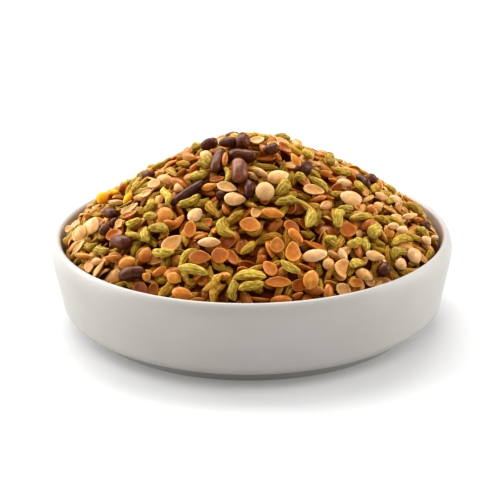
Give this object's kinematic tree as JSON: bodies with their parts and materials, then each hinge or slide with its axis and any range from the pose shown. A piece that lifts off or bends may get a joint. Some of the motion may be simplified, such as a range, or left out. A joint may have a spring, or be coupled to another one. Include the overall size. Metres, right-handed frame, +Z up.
{
  "type": "bowl of mukhwas",
  "caption": "Shallow round white stoneware bowl on a low foot, heaped with mukhwas: fennel seeds, split coriander kernels and dark glazed seeds served after a meal.",
  "frame": {"origin": "centre of the ring that the bowl stands on, in the resting plane", "axes": "+Z up along the bowl's axis, -Y towards the viewer of the picture, +X to the viewer's right"},
  "size_m": [0.104, 0.104, 0.0482],
  "materials": {
    "stoneware": "white satin glaze",
    "seed_mix": "dry seeds, olive green, tan, orange and dark brown, some with a sugar glaze"
  },
  "bodies": {
    "root": {"bowl": "stoneware", "mukhwas": "seed_mix"}
  },
  "joints": []
}
